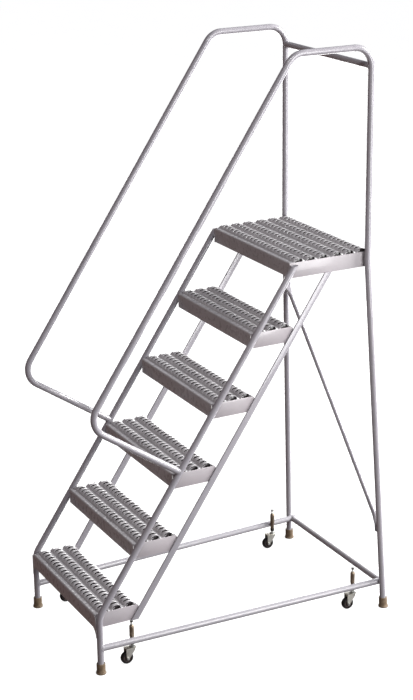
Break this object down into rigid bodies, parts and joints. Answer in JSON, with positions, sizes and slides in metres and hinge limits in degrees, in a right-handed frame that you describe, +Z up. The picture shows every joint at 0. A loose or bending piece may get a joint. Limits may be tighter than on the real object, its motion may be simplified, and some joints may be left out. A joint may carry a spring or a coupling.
{
  "type": "mobile ladder stand",
  "caption": "Rolling stair with open-grip treads, a top platform, bent-tube handrails, rubber feet and spring-loaded swivel casters.",
  "frame": {"origin": "on the floor, midway between the four feet", "axes": "+X right for a person climbing, +Y the climbing direction, +Z up"},
  "size_m": [0.81, 1.301, 2.3348],
  "materials": {
    "frame_paint": "grey powder coat, semi-gloss",
    "tread_paint": "grey powder coat on pressed sheet",
    "plate_paint": "grey powder coat, satin",
    "zinc": "zinc plated",
    "fork_zinc": "bright zinc plated pressing",
    "housing_steel": "yellow-brown zinc plated",
    "dark_steel": "dark plated",
    "foot_rubber": "matt tan rubber",
    "hub_plastic": "moulded, matt",
    "tyre_rubber": "moulded rubber"
  },
  "bodies": {
    "frame": {"front_stringer_left": "frame_paint", "front_stringer_right": "frame_paint", "rear_stringer_left": "frame_paint", "rear_stringer_right": "frame_paint", "handrail_left": "frame_paint", "handrail_right": "frame_paint", "top_crossbar": "frame_paint", "base_rail_left": "frame_paint", "base_rail_right": "frame_paint", "rear_base_crossbar": "frame_paint", "rear_brace": "frame_paint", "brace_bolts": "zinc", "tread_1": "tread_paint", "tread_2": "tread_paint", "tread_3": "tread_paint", "tread_4": "tread_paint", "tread_5": "tread_paint", "platform_front_plank": "tread_paint", "platform_rear_plank": "tread_paint", "tread_end_plates_left": "plate_paint", "tread_end_plates_right": "plate_paint", "platform_end_plate_left": "plate_paint", "platform_end_plate_right": "plate_paint", "foot_front_left": "foot_rubber", "foot_front_right": "foot_rubber", "foot_rear_left": "foot_rubber", "foot_rear_right": "foot_rubber", "spring_housing_front_left": "housing_steel", "spring_housing_front_right": "housing_steel", "spring_housing_rear_left": "housing_steel", "spring_housing_rear_right": "housing_steel"},
    "stem_front_left": {"stem_front_left": "zinc", "stem_nut_front_left": "dark_steel", "spring_front_left": "dark_steel"},
    "fork_front_left": {"fork_front_left": "fork_zinc", "axle_bolt_front_left": "zinc"},
    "wheel_front_left": {"hub_front_left": "hub_plastic", "tyre_front_left": "tyre_rubber"},
    "stem_front_right": {"stem_front_right": "zinc", "stem_nut_front_right": "dark_steel", "spring_front_right": "dark_steel"},
    "fork_front_right": {"fork_front_right": "fork_zinc", "axle_bolt_front_right": "zinc"},
    "wheel_front_right": {"hub_front_right": "hub_plastic", "tyre_front_right": "tyre_rubber"},
    "stem_rear_left": {"stem_rear_left": "zinc", "stem_nut_rear_left": "dark_steel", "spring_rear_left": "dark_steel"},
    "fork_rear_left": {"fork_rear_left": "fork_zinc", "axle_bolt_rear_left": "zinc"},
    "wheel_rear_left": {"hub_rear_left": "hub_plastic", "tyre_rear_left": "tyre_rubber"},
    "stem_rear_right": {"stem_rear_right": "zinc", "stem_nut_rear_right": "dark_steel", "spring_rear_right": "dark_steel"},
    "fork_rear_right": {"fork_rear_right": "fork_zinc", "axle_bolt_rear_right": "zinc"},
    "wheel_rear_right": {"hub_rear_right": "hub_plastic", "tyre_rear_right": "tyre_rubber"}
  },
  "joints": [
    {"name": "stem_slide_front_left", "type": "slide", "parent": "frame", "child": "stem_front_left", "axis": [0, 0, 1], "range_m": [-0.01, 0.003], "stiffness_N_per_m": 600, "springref_m": -0.01, "deforming": ["spring_front_left"]},
    {"name": "fork_swivel_front_left", "type": "hinge", "parent": "stem_front_left", "child": "fork_front_left", "pos_m": [-0.29976, -0.487, 0.068], "axis": [0, 0, 1], "continuous": true},
    {"name": "wheel_spin_front_left", "type": "hinge", "parent": "fork_front_left", "child": "wheel_front_left", "pos_m": [-0.29976, -0.511, 0.0284], "axis": [1, 0, 0], "continuous": true},
    {"name": "stem_slide_front_right", "type": "slide", "parent": "frame", "child": "stem_front_right", "axis": [0, 0, 1], "range_m": [-0.01, 0.003], "stiffness_N_per_m": 600, "springref_m": -0.01, "deforming": ["spring_front_right"]},
    {"name": "fork_swivel_front_right", "type": "hinge", "parent": "stem_front_right", "child": "fork_front_right", "pos_m": [0.29976, -0.487, 0.068], "axis": [0, 0, 1], "continuous": true},
    {"name": "wheel_spin_front_right", "type": "hinge", "parent": "fork_front_right", "child": "wheel_front_right", "pos_m": [0.29976, -0.511, 0.0284], "axis": [1, 0, 0], "continuous": true},
    {"name": "stem_slide_rear_left", "type": "slide", "parent": "frame", "child": "stem_rear_left", "axis": [0, 0, 1], "range_m": [-0.01, 0.003], "stiffness_N_per_m": 600, "springref_m": -0.01, "deforming": ["spring_rear_left"]},
    {"name": "fork_swivel_rear_left", "type": "hinge", "parent": "stem_rear_left", "child": "fork_rear_left", "pos_m": [-0.33155, 0.51, 0.068], "axis": [0, 0, 1], "continuous": true},
    {"name": "wheel_spin_rear_left", "type": "hinge", "parent": "fork_rear_left", "child": "wheel_rear_left", "pos_m": [-0.33155, 0.486, 0.0284], "axis": [1, 0, 0], "continuous": true},
    {"name": "stem_slide_rear_right", "type": "slide", "parent": "frame", "child": "stem_rear_right", "axis": [0, 0, 1], "range_m": [-0.01, 0.003], "stiffness_N_per_m": 600, "springref_m": -0.01, "deforming": ["spring_rear_right"]},
    {"name": "fork_swivel_rear_right", "type": "hinge", "parent": "stem_rear_right", "child": "fork_rear_right", "pos_m": [0.33155, 0.51, 0.068], "axis": [0, 0, 1], "continuous": true},
    {"name": "wheel_spin_rear_right", "type": "hinge", "parent": "fork_rear_right", "child": "wheel_rear_right", "pos_m": [0.33155, 0.486, 0.0284], "axis": [1, 0, 0], "continuous": true}
  ]
}
